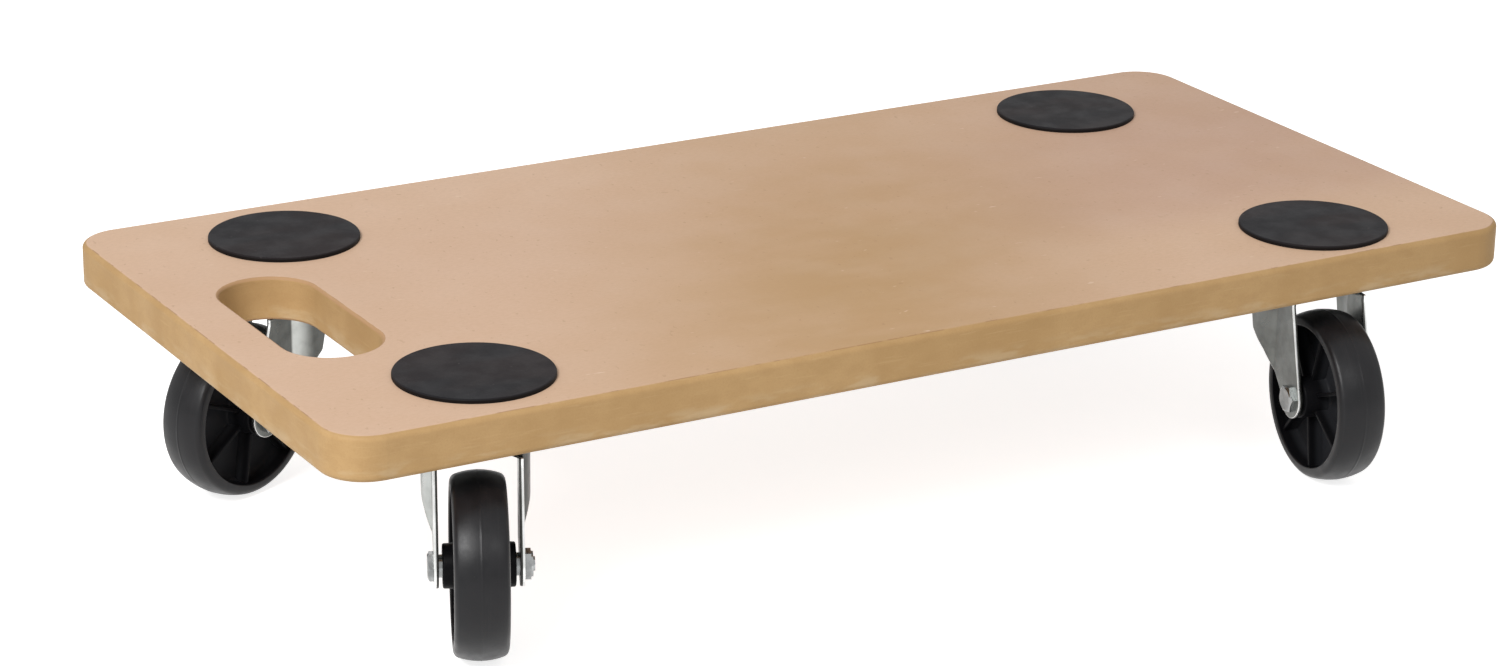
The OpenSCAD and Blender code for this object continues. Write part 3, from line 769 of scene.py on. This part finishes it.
def dress_nodes(looks):
    """Give every CAD node that stays its material."""
    dress("deck_board", looks["board"])
    for corner in CORNERS:
        dress(f"grip_pad_{corner}", looks["rubber"])
        dress(f"top_plate_{corner}", looks["plate"])
        dress(f"race_cup_{corner}", looks["plate"])
        for piece in ("plate_screws", "kingpin", "axle_bolt", "axle_nut", "axle_sleeve"):
            dress(f"{piece}_{corner}", looks["hardware"])
        for piece in ("upper_balls", "lower_balls"):
            dress(f"{piece}_{corner}", looks["ball"])


# ---- Stage, light and camera ----

def white_for_the_eye(tree):
    """A 0 or 1 that is 1 for what the camera sees directly, in a mirror or through glass."""
    path = tree.nodes.new("ShaderNodeLightPath")
    seen = path.outputs["Is Camera Ray"]
    for name in ("Is Glossy Ray", "Is Transmission Ray"):
        either = tree.nodes.new("ShaderNodeMath")
        either.operation = "MAXIMUM"
        tree.links.new(seen, either.inputs[0])
        tree.links.new(path.outputs[name], either.inputs[1])
        seen = either.outputs[0]
    return seen


def add_world():
    """Even white light from all round, and a white background."""
    world = bpy.data.worlds.new("studio")
    bpy.context.scene.world = world
    world.use_nodes = True
    tree = world.node_tree
    background = tree.nodes["Background"]
    background.inputs["Color"].default_value = (1, 1, 1, 1)
    level = tree.nodes.new("ShaderNodeMapRange")
    level.inputs["To Min"].default_value = WORLD_LIGHT
    level.inputs["To Max"].default_value = BACKGROUND_WHITE
    tree.links.new(white_for_the_eye(tree), level.inputs["Value"])
    tree.links.new(level.outputs["Result"], background.inputs["Strength"])


def floor_material():
    """A pale floor that looks white in the open, keeps the shadow, and is clear when seen from below."""
    material = bpy.data.materials.new("studio_floor")
    material.use_nodes = True
    tree = material.node_tree
    shader = tree.nodes["Principled BSDF"]
    shader.inputs["Base Color"].default_value = (0.80, 0.80, 0.80, 1)
    shader.inputs["Roughness"].default_value = 0.9
    shader.inputs["Specular IOR Level"].default_value = 0.1
    shader.inputs["Emission Color"].default_value = (1, 1, 1, 1)
    level = tree.nodes.new("ShaderNodeMapRange")
    level.inputs["To Min"].default_value = 0.0
    level.inputs["To Max"].default_value = FLOOR_WHITE
    tree.links.new(white_for_the_eye(tree), level.inputs["Value"])
    tree.links.new(level.outputs["Result"], shader.inputs["Emission Strength"])
    sides = tree.nodes.new("ShaderNodeMixShader")
    tree.links.new(tree.nodes.new("ShaderNodeNewGeometry").outputs["Backfacing"], sides.inputs[0])
    tree.links.new(shader.outputs[0], sides.inputs[1])
    tree.links.new(tree.nodes.new("ShaderNodeBsdfTransparent").outputs[0], sides.inputs[2])
    tree.links.new(sides.outputs[0], tree.nodes["Material Output"].inputs["Surface"])
    return material


def add_floor():
    """A wide flat floor under the wheels."""
    bm = bmesh.new()
    bmesh.ops.create_grid(bm, x_segments=1, y_segments=1, size=FLOOR_REACH)
    floor = mesh_object("studio_floor", bm, [floor_material()])


def direction(azimuth, elevation):
    """From the object towards a place at that azimuth (0 is -Y, 90 is +X) and elevation, in degrees."""
    a, e = math.radians(azimuth), math.radians(elevation)
    return Vector((math.sin(a) * math.cos(e), -math.cos(a) * math.cos(e), math.sin(e)))


def add_softbox(name, azimuth, elevation, distance, size, watts):
    """A square lamp of that size, distance metres from the object's middle and turned towards it."""
    lamp = bpy.data.lights.new(name, "AREA")
    lamp.shape = "SQUARE"
    lamp.size = size
    lamp.energy = watts
    obj = bpy.data.objects.new(name, lamp)
    bpy.context.scene.collection.objects.link(obj)
    towards = direction(azimuth, elevation)
    obj.location = towards * distance
    obj.rotation_mode = "QUATERNION"
    obj.rotation_quaternion = towards.to_track_quat("Z", "Y")


def add_camera():
    """The photograph's view: a long lens, from the hand hole's end and a little above."""
    azimuth, elevation, roll = -30.22, 19.90, 0.866
    target = Vector((-0.0874, -0.1070, BOARD_HIGH.z))
    distance = 1.7158
    lens = bpy.data.cameras.new("camera")
    lens.sensor_width = 36.0
    lens.lens = 99.53
    camera = bpy.data.objects.new("camera", lens)
    bpy.context.scene.collection.objects.link(camera)
    back = direction(azimuth, elevation)
    right = Vector((math.cos(math.radians(azimuth)), math.sin(math.radians(azimuth)), 0))
    up = back.cross(right)
    turned = Matrix((right, up, back)).transposed().to_4x4()
    tilt = Matrix.Rotation(math.radians(roll), 4, "Z")
    camera.matrix_world = Matrix.Translation(target + back * distance) @ turned @ tilt
    bpy.context.scene.camera = camera


LOOKS = {
    "board": board_material(),
    "rubber": rubber_material(),
    "rim": rim_material(),
    "recess": recess_material(),
    "sheet": sheet_material(),
    # The two halves of the forks' cut edge: a smooth band with a painted highlight, a torn band with
    # painted shade
    "cut_rim_painted_highlight": zinc_material("zinc_cut_rim_painted_highlight", srgb(236, 237, 236), srgb(214, 215, 213), 0.30, own=True),
    "torn_rim_painted_shade": zinc_material("zinc_torn_rim_painted_shade", srgb(84, 84, 82), srgb(66, 66, 64), 0.50, own=True),
    "plate": zinc_material("zinc_plate", srgb(158, 160, 160), srgb(132, 134, 134), 0.38),
    "hardware": zinc_material("zinc_hardware", srgb(164, 166, 166), srgb(124, 126, 126), 0.20,
                              TURNED_STREAK),
    "ball": zinc_material("ball_steel", srgb(206, 207, 209), srgb(186, 187, 189), 0.14, TURNED_STREAK),
}
add_camera()
add_forks(LOOKS["sheet"], LOOKS["cut_rim_painted_highlight"], LOOKS["torn_rim_painted_shade"])
add_wheels(LOOKS["rim"], LOOKS["recess"])
dress_nodes(LOOKS)
add_floor()
add_world()
add_softbox("softbox_left", azimuth=-60, elevation=41, distance=2.4, size=0.8, watts=37)
add_softbox("softbox_right", azimuth=1, elevation=41, distance=2.4, size=0.7, watts=5)
bpy.context.scene.view_settings.view_transform = "Standard"
